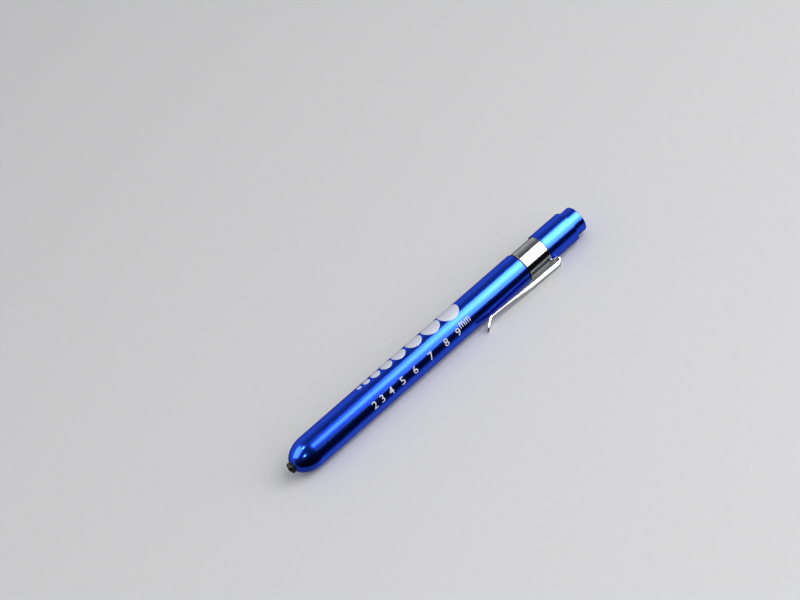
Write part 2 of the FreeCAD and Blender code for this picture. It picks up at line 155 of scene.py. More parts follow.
def clip_point(x, out, across):
    """A point of the scene in the clip's own frame: out from the pen's axis, and across the clip."""
    turn = math.radians(CLIP_ANGLE)
    return Vector((
        TIP_X + x * MM,
        AXIS_Y + (out * math.cos(turn) - across * math.sin(turn)) * MM,
        AXIS_Z + (out * math.sin(turn) + across * math.cos(turn)) * MM,
    ))


# Materials


class Surface:
    """One procedural material under construction: a Principled shader and the nodes that feed it."""

    def __init__(self, name, **constants):
        self.material = bpy.data.materials.new(name)
        self.material.use_nodes = True
        self.tree = self.material.node_tree
        self.shader = self.tree.nodes["Principled BSDF"]
        self.place = self.tree.nodes.new("ShaderNodeTexCoord").outputs["Object"]
        for socket, value in constants.items():
            self.shader.inputs[socket.replace("_", " ")].default_value = value

    def add(self, kind, **links):
        """A new node, with each named input linked to a socket or set to a value."""
        node = self.tree.nodes.new(kind)
        for socket, value in links.items():
            target = node.inputs[socket.replace("_", " ")]
            if isinstance(value, bpy.types.NodeSocket):
                self.tree.links.new(value, target)
            else:
                target.default_value = value
        return node

    def feed(self, socket, source):
        self.tree.links.new(source, self.shader.inputs[socket])

    def stretched(self, scale):
        """The object's own coordinates, scaled by a different amount along each axis."""
        mapping = self.add("ShaderNodeMapping", Vector=self.place)
        mapping.inputs["Scale"].default_value = scale
        return mapping.outputs["Vector"]

    def noise(self, scale, detail=3.0, place=None, roughness=0.5):
        node = self.add(
            "ShaderNodeTexNoise", Vector=place or self.place, Scale=scale, Detail=detail, Roughness=roughness
        )
        return node.outputs["Fac"]

    def ramp(self, factor, stops):
        """A colour ramp over (position, colour) stops."""
        node = self.add("ShaderNodeValToRGB", Fac=factor)
        elements = node.color_ramp.elements
        while len(elements) < len(stops):
            elements.new(0.5)
        for element, (position, colour) in zip(elements, stops):
            element.position = position
            element.color = (*colour, 1.0)
        return node.outputs["Color"]

    def remap(self, value, low, high, new_low, new_high):
        node = self.add("ShaderNodeMapRange", Value=value)
        node.inputs["From Min"].default_value = low
        node.inputs["From Max"].default_value = high
        node.inputs["To Min"].default_value = new_low
        node.inputs["To Max"].default_value = new_high
        return node.outputs["Result"]

    def blend_colour(self, factor, first, second):
        """Mixes two colours, each a socket or a constant, by a factor socket."""
        node = self.tree.nodes.new("ShaderNodeMix")
        node.data_type = "RGBA"
        self.tree.links.new(factor, node.inputs["Factor"])
        for socket, value in ((node.inputs[6], first), (node.inputs[7], second)):
            if isinstance(value, bpy.types.NodeSocket):
                self.tree.links.new(value, socket)
            else:
                socket.default_value = (*value, 1.0)
        return node.outputs[2]

    def attribute(self, name):
        node = self.tree.nodes.new("ShaderNodeAttribute")
        node.attribute_name = name
        return node.outputs["Fac"]

    def bump(self, height, strength, distance):
        node = self.add("ShaderNodeBump", Height=height, Strength=strength, Distance=distance)
        self.feed("Normal", node.outputs["Normal"])


def anodised_blue():
    """Deep blue anodised aluminium: fine lathe lines, faint clouding, paler worn edges, and painted shade:
    near-black in the gaps beside the band.
    """
    tint = (0.25, 0.40, 1.0, 1.0)
    s = Surface("anodised_blue", Metallic=1.0, Specular_Tint=tint, Coat_Weight=0.4, Coat_Roughness=0.18)
    cloud = s.noise(260.0, 4.0)
    dye = s.ramp(cloud, [(0.3, (0.009, 0.080, 0.92)), (0.7, (0.012, 0.090, 1.0))])
    lines = s.noise(1.0, 5.0, s.stretched((9000.0, 60.0, 60.0)), 0.7)
    grit = s.noise(5200.0, 2.0)
    wear = s.remap(grit, 0.35, 0.75, 0.0, 1.0)
    worn = s.add("ShaderNodeMath")
    worn.operation = "MULTIPLY"
    s.tree.links.new(s.attribute("edge_wear"), worn.inputs[0])
    s.tree.links.new(wear, worn.inputs[1])
    rubbed = s.blend_colour(worn.outputs["Value"], dye, (0.14, 0.26, 0.80))
    # Points in the gaps beside the band take a near-black blue: painted shade for the shade that falls in
    # them.
    s.feed("Base Color", s.blend_colour(s.attribute("painted_gap_shade"), rubbed, (0.001, 0.006, 0.06)))
    s.feed("Roughness", s.remap(lines, 0.3, 0.7, 0.165, 0.205))
    s.bump(lines, 0.06, 0.00002)
    return s.material


def polished_steel():
    """Bright plated spring steel: soft wipe marks, hairline scratches and a trace of grime."""
    s = Surface("polished_clip", Metallic=1.0)
    haze = s.noise(420.0, 5.0)
    s.feed("Base Color", s.ramp(haze, [(0.25, (0.52, 0.525, 0.54)), (0.75, (0.60, 0.605, 0.62))]))
    hairs = s.noise(1.0, 4.0, s.stretched((300.0, 7000.0, 7000.0)), 0.75)
    s.feed("Roughness", s.remap(hairs, 0.3, 0.75, 0.07, 0.16))
    s.bump(hairs, 0.06, 0.00002)
    return s.material


def plastic(name, dark, light, low, high, grain=1800.0, strength=0.12):
    """Moulded plastic with a fine grain and a faint colour drift."""
    s = Surface(name)
    drift = s.noise(500.0, 3.0)
    s.feed("Base Color", s.ramp(drift, [(0.3, dark), (0.7, light)]))
    fine = s.noise(grain, 3.0)
    s.feed("Roughness", s.remap(fine, 0.3, 0.7, low, high))
    s.bump(fine, strength, 0.00003)
    return s.material


def metal(name, dark, light, low, high, stretch):
    """Plain metal with drawn or rolled marks along one direction."""
    s = Surface(name, Metallic=1.0)
    stain = s.noise(700.0, 4.0)
    s.feed("Base Color", s.ramp(stain, [(0.3, dark), (0.7, light)]))
    marks = s.noise(1.0, 4.0, s.stretched(stretch), 0.7)
    s.feed("Roughness", s.remap(marks, 0.3, 0.7, low, high))
    s.bump(marks, 0.15, 0.00002)
    return s.material


def gauge_ink():
    """Pad-printed pale ink: slightly uneven cover and a satin sheen."""
    s = Surface("gauge_ink", Specular_IOR_Level=0.4)
    cover = s.noise(3200.0, 4.0)
    s.feed("Base Color", s.ramp(cover, [(0.25, (0.42, 0.44, 0.52)), (0.6, (0.52, 0.54, 0.62))]))
    s.feed("Roughness", s.remap(cover, 0.3, 0.7, 0.38, 0.5))
    s.bump(cover, 0.1, 0.00001)
    return s.material


def clear_epoxy():
    """The lamp's body: see-through, darkened with painted shade so that the unlit lamp looks dark, with a
    trace of flow marks.
    """
    # The dark base colour is painted shade: the real lens is clear and only looks dark when unlit.
    s = Surface("clear_epoxy", Transmission_Weight=1.0, IOR=1.5, Base_Color=(0.18, 0.19, 0.22, 1.0))
    flow = s.noise(900.0, 2.0)
    s.feed("Roughness", s.remap(flow, 0.3, 0.7, 0.02, 0.06))
    s.bump(flow, 0.05, 0.00002)
    return s.material


def phosphor():
    """The yellow phosphor over the lamp's die."""
    s = Surface("phosphor")
    grain = s.noise(6000.0, 3.0)
    s.feed("Base Color", s.ramp(grain, [(0.3, (0.75, 0.55, 0.06)), (0.7, (0.90, 0.74, 0.14))]))
    s.feed("Roughness", s.remap(grain, 0.3, 0.7, 0.5, 0.7))
    return s.material


def cell_film():
    """Shrink film on a cell: dark green, slightly rippled and glossy."""
    s = Surface("cell_jacket", Coat_Weight=0.4, Coat_Roughness=0.1)
    drift = s.noise(300.0, 3.0)
    s.feed("Base Color", s.ramp(drift, [(0.3, (0.02, 0.12, 0.07)), (0.7, (0.03, 0.17, 0.10))]))
    ripple = s.noise(900.0, 2.0)
    s.feed("Roughness", s.remap(ripple, 0.3, 0.7, 0.22, 0.35))
    s.bump(ripple, 0.1, 0.00004)
    return s.material


def floor_paint():
    """The plain pale floor, with just enough tooth to look like a surface."""
    s = Surface("floor_paint", Specular_IOR_Level=0.25)
    tooth = s.noise(350.0, 4.0)
    s.feed("Base Color", s.ramp(tooth, [(0.2, (0.590, 0.590, 0.596)), (0.8, (0.610, 0.610, 0.616))]))
    s.feed("Roughness", s.remap(tooth, 0.3, 0.7, 0.6, 0.7))
    return s.material


BLUE = anodised_blue()
STEEL = polished_steel()
INK = gauge_ink()
BLACK = plastic("black_plastic", (0.004, 0.004, 0.005), (0.009, 0.009, 0.010), 0.16, 0.28)
WHITE = plastic("white_plastic", (0.70, 0.70, 0.66), (0.80, 0.80, 0.77), 0.4, 0.55)
BRASS = metal("brass", (0.62, 0.44, 0.17), (0.76, 0.58, 0.27), 0.2, 0.35, (200.0, 5000.0, 5000.0))
WIRE = metal("tinned_wire", (0.52, 0.52, 0.51), (0.68, 0.68, 0.67), 0.25, 0.4, (400.0, 5000.0, 5000.0))
SPRING = metal("spring_steel", (0.42, 0.42, 0.44), (0.60, 0.60, 0.62), 0.2, 0.35, (900.0, 900.0, 900.0))
CELL_STEEL = metal("cell_steel", (0.58, 0.58, 0.57), (0.72, 0.72, 0.71), 0.2, 0.35, (6000.0, 200.0, 200.0))
CELL_MIX = plastic("cell_mix", (0.015, 0.015, 0.016), (0.04, 0.04, 0.042), 0.8, 0.95, 2600.0, 0.5)
CELL_FILM = cell_film()
EPOXY = clear_epoxy()
PHOSPHOR = phosphor()

SLOT_MATERIALS = {
    "anodised_blue": BLUE,
    "anodised_blue_button": BLUE,
    "polished_clip": STEEL,
    "black_plastic": BLACK,
    "clear_epoxy": EPOXY,
    "tinned_wire": WIRE,
    "white_plastic": WHITE,
    "brass": BRASS,
    "spring_steel": SPRING,
    "cell_steel": CELL_STEEL,
    "cell_mix": CELL_MIX,
    "cell_jacket": CELL_FILM,
}


def dress_cad_nodes():
    """Every CAD node takes the procedural material of its own slot."""
    for part in frame["record"]["subparts"]:
        node = frame["nodes"][part["node"]]
        node.data.materials.clear()
        node.data.materials.append(SLOT_MATERIALS[part["material_slot"]])


# Mesh helpers


def piece_from(name, mesh, material, body):
    """A new object from a mesh, with the material given, riding on a body when one is given."""
    piece = bpy.data.objects.new(name, mesh)
    bpy.context.scene.collection.objects.link(piece)
    piece.data.materials.append(material)
    if body:
        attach(piece, body)
    return piece


def tidy(mesh, sharp_angle):
    """Welds doubled points, turns the faces outward and shades smooth up to an angle."""
    work = bmesh.new()
    work.from_mesh(mesh)
    bmesh.ops.remove_doubles(work, verts=work.verts, dist=1e-7)
    bmesh.ops.recalc_face_normals(work, faces=work.faces)
    work.to_mesh(mesh)
    work.free()
    mesh.shade_smooth()
    mesh.set_sharp_from_angle(angle=math.radians(sharp_angle))
    return mesh


def arc(centre_x, centre_r, radius, start, end, count):
    """Points of a round stretch of a profile; the angles run from +x towards +radius."""
    points = []
    for i in range(count + 1):
        turn = math.radians(start + (end - start) * i / count)
        points.append((centre_x + radius * math.cos(turn), centre_r + radius * math.sin(turn)))
    return points


def ellipse(centre_x, length, radius, end_r, count):
    """Points of the nose's quarter ellipse, from its mouth at end_r out to the full radius."""
    first = math.asin(end_r / radius)
    points = []
    for i in range(count + 1):
        turn = first + (math.pi / 2 - first) * i / count
        points.append((centre_x - length * math.cos(turn), radius * math.sin(turn)))
    return points


def lathe(profile, segments=192, radius_shift=None):
    """A mesh of revolution about the pen's axis from a closed profile of (x, radius)."""
    mesh = bpy.data.meshes.new("lathe")
    points = []
    for i in range(segments):
        angle = 360.0 * i / segments
        for x, radius in profile:
            shift = radius_shift(x, radius, angle) if radius_shift else 0.0
            points.append(at(x, radius + shift, angle))
    rows = len(profile)
    faces = []
    for i in range(segments):
        here, there = i * rows, (i + 1) % segments * rows
        for j in range(rows):
            k = (j + 1) % rows
            faces.append((here + j, here + k, there + k, there + j))
    mesh.from_pydata(points, [], faces)
    return mesh


# How near the band, along the pen, and how far below the skin a point has to be to count as in a gap beside
# the band, where shade is painted
SHADED_GAP_MARGIN = 0.2
SHADED_GAP_DEPTH = 0.015


def mark_wear(mesh, edges, reach):
    """Stores how worn each point is, by the nearest (x, radius) edge, and which points lie in the gaps beside
    the band, which get painted shade.
    """
    wear = mesh.attributes.new("edge_wear", "FLOAT", "POINT")
    # This second attribute is painted shade: it marks the points sunk in the gaps beside the band, which lie
    # in shade.
    painted_gap_shade = mesh.attributes.new("painted_gap_shade", "FLOAT", "POINT")
    for i, vertex in enumerate(mesh.vertices):
        x = (vertex.co.x - TIP_X) / MM
        radius = math.hypot(vertex.co.y - AXIS_Y, vertex.co.z - AXIS_Z) / MM
        nearest = min(math.hypot(x - a, radius - b) for a, b in edges)
        wear.data[i].value = math.exp(-((nearest / reach) ** 2))
        beside_band = BARREL_END - SHADED_GAP_MARGIN < x < TAIL_CAP_START + SHADED_GAP_MARGIN
        painted_gap_shade.data[i].value = 1.0 if beside_band and radius < SKIN_R - SHADED_GAP_DEPTH else 0.0


# Pieces of revolution


def make_barrel():
    """The tube: rounded mouth, bullet nose, broken rear edge, and the bore behind."""
    outer = ellipse(NOSE_CENTRE, NOSE_LENGTH, SKIN_R, MOUTH_R + MOUTH_BREAK_R, 48)
    mouth = outer[0][0]
    cavity = ellipse(NOSE_CENTRE, NOSE_CAVITY_LENGTH, BORE_R, MOUTH_R, 24)
    profile = [(mouth + MOUTH_BREAK_LENGTH, MOUTH_R)] + outer
    profile += [(x, SKIN_R) for x in range(12, 109, 2)]
    profile += [(BARREL_END - back, SKIN_R) for back in (1.2, 0.6, 0.25)]
    profile += arc(BARREL_END - EDGE_EASE, SKIN_R - EDGE_EASE, EDGE_EASE, 90, 0, 5)
    profile += [(BARREL_END, BORE_R + BORE_BREAK), (BARREL_END - BORE_BREAK, BORE_R)]
    profile += list(reversed(cavity))
    mesh = tidy(lathe(profile), 40)
    mark_wear(mesh, [(BARREL_END, SKIN_R), (mouth, MOUTH_R)], EDGE_WEAR_REACH)
    piece = piece_from("barrel_shell", mesh, BLUE, "barrel")
    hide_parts("barrel")


def thread_cut(x, radius, angle):
    """How far the thread moves the spigot's surface at one point of it; a cut is negative."""
    into = x - SPIGOT_START
    if not SPIGOT_R - 0.01 < radius < SPIGOT_R + 0.01 or not 0 < into < THREAD_LENGTH:
        return 0.0
    phase = (into / THREAD_PITCH + angle / 360.0) % 1.0
    depth = max(0.0, 1.0 - abs(phase - 0.5) / THREAD_FLANK)
    fade = min(1.0, into / THREAD_FADE, (THREAD_LENGTH - into) / THREAD_FADE)
    return -THREAD_DEPTH * depth * max(0.0, fade)


def make_tail_cap():
    """The tail: a threaded spigot, the neck under the band, and the full-width cap round the button."""
    steps = int(THREAD_LENGTH / THREAD_STEP)
    shoulder = SPIGOT_START + THREAD_LENGTH
    profile = [(SPIGOT_START, SPIGOT_BORE_R)]
    profile += [(SPIGOT_START + THREAD_STEP * i, SPIGOT_R) for i in range(steps + 1)]
    profile += [(shoulder + 0.05, RELIEF_R), (BAND_START, RELIEF_R), (BAND_START, NECK_R)]
    profile += [(TAIL_CAP_START, NECK_R)]
    profile += arc(TAIL_CAP_START + EDGE_EASE, SKIN_R - EDGE_EASE, EDGE_EASE, 180, 90, 4)
    profile += [(x, SKIN_R) for x in (122.1, 122.6, 123.4, 125.0, 128.0, 131.0, 133.5, 134.6, 135.1)]
    profile += arc(TAIL_CAP_END - EDGE_EASE, SKIN_R - EDGE_EASE, EDGE_EASE, 90, 0, 4)
    profile += [(TAIL_CAP_END, MOUTH_GAP_R), (TAIL_CAP_END - MOUTH_GAP_DEPTH, MOUTH_GAP_R)]
    profile += [(TAIL_CAP_END - MOUTH_GAP_DEPTH, BUTTON_BORE_R)]
    profile += [(SNAP_GROOVE_END, BUTTON_BORE_R), (SNAP_GROOVE_END, SNAP_GROOVE_R)]
    profile += [(SNAP_GROOVE_START, SNAP_GROOVE_R), (SNAP_GROOVE_START, SPIGOT_BORE_R)]
    mesh = tidy(lathe(profile, 192, thread_cut), 40)
    mark_wear(mesh, [(TAIL_CAP_START, SKIN_R), (TAIL_CAP_END, SKIN_R)], EDGE_WEAR_REACH)
    piece = piece_from("tail_cap_shell", mesh, BLUE, "tail_cap")
    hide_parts("tail_cap")


def make_push_button():
    """The button: a cup with a snap bead on its skirt and a flat end inside a rounded edge."""
    bead_start = BUTTON_START + 0.15
    bead_end = SNAP_GROOVE_END - 0.1
    profile = [(BUTTON_START, BUTTON_INNER_R), (BUTTON_START, BUTTON_R)]
    profile += [(bead_start, SNAP_BEAD_R), (bead_end, SNAP_BEAD_R), (bead_end, BUTTON_R)]
    profile += [(x, BUTTON_R) for x in (132.0, 135.4, 136.5, 138.0, 139.3, 139.8)]
    profile += arc(OVERALL - BUTTON_EDGE_R, BUTTON_R - BUTTON_EDGE_R, BUTTON_EDGE_R, 90, 0, 8)
    profile += [(OVERALL, 4.45), (OVERALL, 3.0), (OVERALL, 1.5), (OVERALL, 0.0)]
    profile += [(BUTTON_FLOOR, 0.0), (BUTTON_FLOOR, BUTTON_INNER_R)]
    mesh = tidy(lathe(profile), 40)
    mark_wear(mesh, [(OVERALL - 0.15, BUTTON_R - 0.15)], 0.35)
    piece = piece_from("button_cap", mesh, BLUE, "push_button")
    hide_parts("push_button")


LED_R = 1.5
LED_FLANGE_R = 1.9
LED_FLANGE_START = 4.3
LED_FLANGE_END = 5.3
BUSH_LIP = 0.6
BUSH_LIP_R = 0.42
BUSH_FLANGE_R = 3.0
BUSH_FLANGE_END = 6.3
LAMP_GAP = 0.05


def make_lamp():
    """The black bush with its rounded lip, and the domed lamp with its cup and die."""
    outer_r = MOUTH_R - LAMP_GAP
    bore_r = LED_R + LAMP_GAP
    lip = arc(BUSH_LIP + BUSH_LIP_R, outer_r - BUSH_LIP_R, BUSH_LIP_R, 180, 90, 6)
    bush = [(BUSH_LIP + 0.08, bore_r), (BUSH_LIP, bore_r + 0.08)] + lip
    bush += [(LED_FLANGE_START, outer_r), (LED_FLANGE_START, BUSH_FLANGE_R), (BUSH_FLANGE_END, BUSH_FLANGE_R)]
    bush += [(BUSH_FLANGE_END, LED_FLANGE_R + LAMP_GAP), (LED_FLANGE_START, LED_FLANGE_R + LAMP_GAP)]
    bush += [(LED_FLANGE_START, bore_r)]
    piece = piece_from("lamp_bush_ring", tidy(lathe(bush, 96), 40), BLACK, "barrel")
    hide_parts("lamp_bush")

    lens = arc(LED_R, 0.0, LED_R, 180, 90, 16)
    lens += [(LED_FLANGE_START, LED_R), (LED_FLANGE_START, LED_FLANGE_R)]
    lens += [(LED_FLANGE_END, LED_FLANGE_R), (LED_FLANGE_END, 0.0)]
    piece = piece_from("lamp_lens", tidy(lathe(lens, 96), 40), EPOXY, "barrel")
    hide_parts("led_lamp")

    cup = [(3.4, 0.5), (2.6, 0.75), (2.6, 0.85), (3.6, 0.62), (5.2, 0.3), (5.2, 0.0), (3.4, 0.0)]
    piece_from("lamp_cup", tidy(lathe(cup, 48), 40), WIRE, "barrel")
    die = [(2.95, 0.0), (2.98, 0.3), (3.05, 0.5), (3.38, 0.48), (3.38, 0.0)]
    piece_from("lamp_die", tidy(lathe(die, 48), 40), PHOSPHOR, "barrel")


# Clip


def path_of(corners, step):
    """Points (x, out, heading) on lines through (x, out, bend radius) corners, with arcs at the bends."""
    points = []
    start = Vector(corners[0][:2])
    for i in range(1, len(corners)):
        corner = Vector(corners[i][:2])
        bend = corners[i][2]
        heading = (corner - start).normalized()
        if i == len(corners) - 1 or bend <= 0:
            points += straight(start, corner, step)
            start = corner
            continue
        ahead = (Vector(corners[i + 1][:2]) - corner).normalized()
        turn = heading.angle_signed(ahead) * -1
        reach = bend * math.tan(abs(turn) / 2)
        first = corner - heading * reach
        points += straight(start, first, step)
        side = Vector((-heading.y, heading.x)) * math.copysign(1.0, turn)
        centre = first + side * bend
        count = max(3, int(abs(turn) * bend / step), int(math.degrees(abs(turn)) / 5))
        for k in range(1, count):
            spin = turn * k / count
            arm = first - centre
            swung = Vector((
                arm.x * math.cos(spin) - arm.y * math.sin(spin),
                arm.x * math.sin(spin) + arm.y * math.cos(spin),
            ))
            points.append((*(centre + swung), math.atan2(heading.y, heading.x) + spin))
        start = corner + ahead * reach
    return points


def straight(start, end, step):
    """Points along one straight stretch, with its heading."""
    run = end - start
    count = max(1, int(run.length / step))
    heading = math.atan2(run.y, run.x)
    return [(*(start + run * (k / count)), heading) for k in range(count + 1)]


def rounded_section(half_width, half_thickness, edge, steps=4):
    """A flat bar's section with rounded edges, as (across, up) points round its outline."""
    flat = half_width - edge
    rise = half_thickness - edge
    wide_hold = flat - min(0.04, flat / 4)
    tall_hold = rise - min(0.03, rise / 4)
    points = []
    for side in (1, -1):
        points += [(side * across, side * half_thickness) for across in (-flat, -wide_hold, 0.0, wide_hold)]
        for k in range(steps + 1):
            turn = math.radians(90 - 90 * k / steps)
            points.append((side * (flat + edge * math.cos(turn)), side * (rise + edge * math.sin(turn))))
        points += [(side * half_width, side * tall_hold), (side * half_width, -side * tall_hold)]
        for k in range(steps):
            turn = math.radians(-90 * k / steps)
            points.append((side * (flat + edge * math.cos(turn)), side * (edge * math.sin(turn) - rise)))
    return points


# The strip's line in the clip's own plane: (x, out, bend radius) at each corner
ARM_PATH = [
    (BAND_END - 0.7, SEAT_R, 0.0),
    (BAND_END + 0.1, TONGUE_R, 0.4),
    (FOLD_END_X, TONGUE_R, CLIP_FOLD_R),
    (FOLD_END_X, ARM_R, CLIP_FOLD_R - 0.02),
    (110.0, 8.5, 80.0),
    (89.7, 7.2, 2.6),
    (85.3, 10.2, 0.0),
]
ARM_TIP_HALF_WIDTH = 1.15
ARM_BEND_HALF_WIDTH = 1.3
ARM_BEND_X = 90.0
ARM_TAPER_START = 106.0
ARM_SIDE_LEAN = 0.07
ARM_STEP = 0.6
ARM_EDGE = 0.06


def arm_half_width(x, run_left):
    """Half the arm's width: full at the fold, narrower to the bend, and rounded off at the tip."""
    share = (x - ARM_BEND_X) / (ARM_TAPER_START - ARM_BEND_X)
    share = min(max(share, 0.0), 1.0)
    half = ARM_BEND_HALF_WIDTH + (CLIP_HALF_WIDTH - ARM_BEND_HALF_WIDTH) * share
    if run_left < ARM_TIP_HALF_WIDTH:
        left = ARM_TIP_HALF_WIDTH - run_left
        half = math.sqrt(max(ARM_TIP_HALF_WIDTH**2 - left**2, ARM_EDGE**2))
    return half


def loft(rings):
    """Points and faces of a closed skin over rings that all have the same number of points."""
    size = len(rings[0])
    points = [p for ring in rings for p in ring]
    faces = []
    for i in range(len(rings) - 1):
        for j in range(size):
            k = (j + 1) % size
            faces.append((i * size + j, i * size + k, (i + 1) * size + k, (i + 1) * size + j))
    faces.append(tuple(reversed(range(size))))
    faces.append(tuple((len(rings) - 1) * size + j for j in range(size)))
    return points, faces


def arm_rings():
    """Sections of the strip from inside the band, up the tongue, round the fold and along the arm."""
    path = path_of(ARM_PATH, ARM_STEP)
    tip = Vector(path[-1][:2])
    fine_tip = []
    for x, out, heading in path:
        run_left = (tip - Vector((x, out))).length
        if run_left < ARM_TIP_HALF_WIDTH:
            continue
        fine_tip.append((x, out, heading))
    last_heading = path[-1][2]
    ahead = Vector((math.cos(last_heading), math.sin(last_heading)))
    for k in range(9):
        run_left = ARM_TIP_HALF_WIDTH * (1 - math.sin(math.radians(90 * k / 8)))
        fine_tip.append((*(tip - ahead * run_left), last_heading))
    rings = []
    for x, out, heading in fine_tip:
        run_left = (tip - Vector((x, out))).length
        half = arm_half_width(x, run_left)
        edge = min(ARM_EDGE, half * 0.6)
        section = rounded_section(half, CLIP_SHEET / 2, edge)
        up = Vector((-math.sin(heading), math.cos(heading)))
        ring = []
        for across, rise in section:
            lean = ARM_SIDE_LEAN * (0.5 + rise / CLIP_SHEET) / half
            ring.append(clip_point(x - up.x * rise, out - up.y * rise, across * (1 - lean)))
        rings.append(ring)
    return rings


def band_path():
    """The band's line round the neck, as (out, across) points with the clip's side in the middle."""
    count = 120
    first = -180.0 + BAND_GAP_HALF_ANGLE
    angles = [math.radians(first * (1 - 2 * k / count)) for k in range(count + 1)]
    return [(BAND_R * math.cos(angle), BAND_R * math.sin(angle)) for angle in angles]


def band_rings():
    """The band's sections, each a thin rounded rectangle as long as the band is wide."""
    line = band_path()
    half_long = (BAND_END - BAND_START) / 2
    middle = (BAND_END + BAND_START) / 2
    section = rounded_section(half_long, BAND_SHEET / 2, BAND_EDGE)
    rings = []
    for i, (out, across) in enumerate(line):
        before = Vector(line[max(i - 1, 0)])
        after = Vector(line[min(i + 1, len(line) - 1)])
        along = (after - before).normalized()
        normal = Vector((along.y, -along.x))
        rings.append([
            clip_point(middle + a, out + normal.x * rise, across + normal.y * rise) for a, rise in section
        ])
    return rings


def make_clip():
    """One bent strip: the open band, the tongue at its tail edge, the fold, and the arm with its lip."""
    points, faces = [], []
    for rings in (band_rings(), arm_rings()):
        some_points, some_faces = loft(rings)
        faces += [tuple(i + len(points) for i in face) for face in some_faces]
        points += some_points
    mesh = bpy.data.meshes.new("clip_strip")
    mesh.from_pydata(points, [], faces)
    tidy(mesh, 30)
    piece = piece_from("clip_strip", mesh, STEEL, None)
    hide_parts("clip_ring", "clip_arm")
    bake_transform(piece)


# Button spring

COIL_START = 112.8
COIL_END = 117.5
COIL_R = 2.2
COIL_WIRE_R = 0.25
COIL_TURNS = 4
COIL_STEPS = 40
COIL_SIDES = 12


def make_return_spring():
    """The button's coil, which is seated in the tail cap; the real one shortens as the button goes in, but
    this one keeps its length.
    """
    count = COIL_STEPS * COIL_TURNS
    run = COIL_END - COIL_START - 2 * COIL_WIRE_R
    rings = []
    for k in range(count + 1):
        x = COIL_START + COIL_WIRE_R + run * k / count
        ring = []
        for side in range(COIL_SIDES):
            turn = math.radians(360 / COIL_SIDES * side)
            radius = COIL_R + COIL_WIRE_R * math.cos(turn)
            ring.append(at(x + COIL_WIRE_R * math.sin(turn), radius, 360 * COIL_TURNS * k / count))
        rings.append(ring)
    mesh = bpy.data.meshes.new("button_coil")
    points, faces = loft(rings)
    mesh.from_pydata(points, [], faces)
    piece = piece_from("button_coil", tidy(mesh, 40), SPRING, "tail_cap")
    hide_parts("return_spring")
    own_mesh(piece)


# Pupil gauge

# Dots are named by their labelled size and printed a little smaller. The row isn't quite even: each dot has
# its own gap to the one before and its own place round the barrel, and each numeral its own shift along it.
DOT_SIZES = [2, 3, 4, 5, 6, 7, 8, 9]
DOT_PRINTED = 0.95
DOT_GAPS = {2: 0.0, 3: 0.9, 4: 0.87, 5: 0.85, 6: 0.58, 7: 0.97, 8: 0.81, 9: 0.35}
DOT_ANGLES = {2: 80.0, 3: 81.0, 4: 82.0, 5: 82.0, 6: 82.0, 7: 82.0, 8: 84.0, 9: 86.5}
FIRST_DOT_X = 36.9
NUMERAL_ANGLE = 169.0
NUMERAL_HEIGHT = 2.9
NUMERAL_SHIFT = {2: -0.5, 3: -0.25, 4: -0.25, 5: 0.08, 6: 0.25, 7: 0.78, 8: 0.27, 9: -2.38}
UNIT_X = 80.35
UNIT_ANGLE = 157.0
UNIT_HEIGHT = 2.1
UNIT_WIDTH = 4.8
STROKE_SWELL = 0.004
STROKE_CUT = 0.2


def wrap(mesh, centre_angle):
    """Rolls a flat print, drawn as (x, y) in mm, onto the barrel, its top towards the dots' side."""
    for vertex in mesh.vertices:
        angle = centre_angle - math.degrees(vertex.co.y / BARREL_R)
        vertex.co = at(vertex.co.x, BARREL_R, angle)


def print_piece(name, mesh):
    """A wrapped print as a thin closed layer of ink."""
    mesh.shade_smooth()
    piece = piece_from(name, mesh, INK, "barrel")
    skin = piece.modifiers.new("ink", "SOLIDIFY")
    skin.thickness = INK_THICKNESS * MM
    skin.offset = -1.0
    return piece


def disc_mesh(centre_x, radius):
    """A flat disc with rings close enough together to follow the barrel."""
    mesh = bpy.data.meshes.new("dot")
    rings = max(3, int(radius / 0.3))
    segments = 72
    points = [(centre_x, 0.0, 0.0)]
    for ring in range(1, rings + 1):
        for i in range(segments):
            turn = 2 * math.pi * i / segments
            reach = radius * ring / rings
            points.append((centre_x + reach * math.cos(turn), reach * math.sin(turn), 0.0))
    faces = [(0, 1 + i, 1 + (i + 1) % segments) for i in range(segments)]
    for ring in range(rings - 1):
        inner, outer = 1 + ring * segments, 1 + (ring + 1) * segments
        for i in range(segments):
            k = (i + 1) % segments
            faces.append((inner + i, outer + i, outer + k, inner + k))
    mesh.from_pydata(points, [], faces)
    return mesh


def text_mesh(text, centre_x, height, width=None):
    """Numerals or a unit as a flat mesh of a given height, centred at x, cut finely enough to wrap."""
    curve = bpy.data.curves.new("print", "FONT")
    curve.body = text
    curve.offset = STROKE_SWELL
    curve.resolution_u = 6
    holder = bpy.data.objects.new("print", curve)
    bpy.context.scene.collection.objects.link(holder)
    mesh = bpy.data.meshes.new_from_object(holder)
    bpy.data.objects.remove(holder)
    xs = [v.co.x for v in mesh.vertices]
    ys = [v.co.y for v in mesh.vertices]
    tall = height / (max(ys) - min(ys))
    wide = width / (max(xs) - min(xs)) if width else tall
    for vertex in mesh.vertices:
        vertex.co.x = centre_x + (vertex.co.x - (max(xs) + min(xs)) / 2) * wide
        vertex.co.y = (vertex.co.y - (max(ys) + min(ys)) / 2) * tall
    work = bmesh.new()
    work.from_mesh(mesh)
    for k in range(1, int(height / STROKE_CUT) + 1):
        geometry = work.verts[:] + work.edges[:] + work.faces[:]
        level = (0, k * STROKE_CUT - height / 2, 0)
        bmesh.ops.bisect_plane(work, geom=geometry, plane_co=level, plane_no=(0, 1, 0))
    work.to_mesh(mesh)
    work.free()
    return mesh


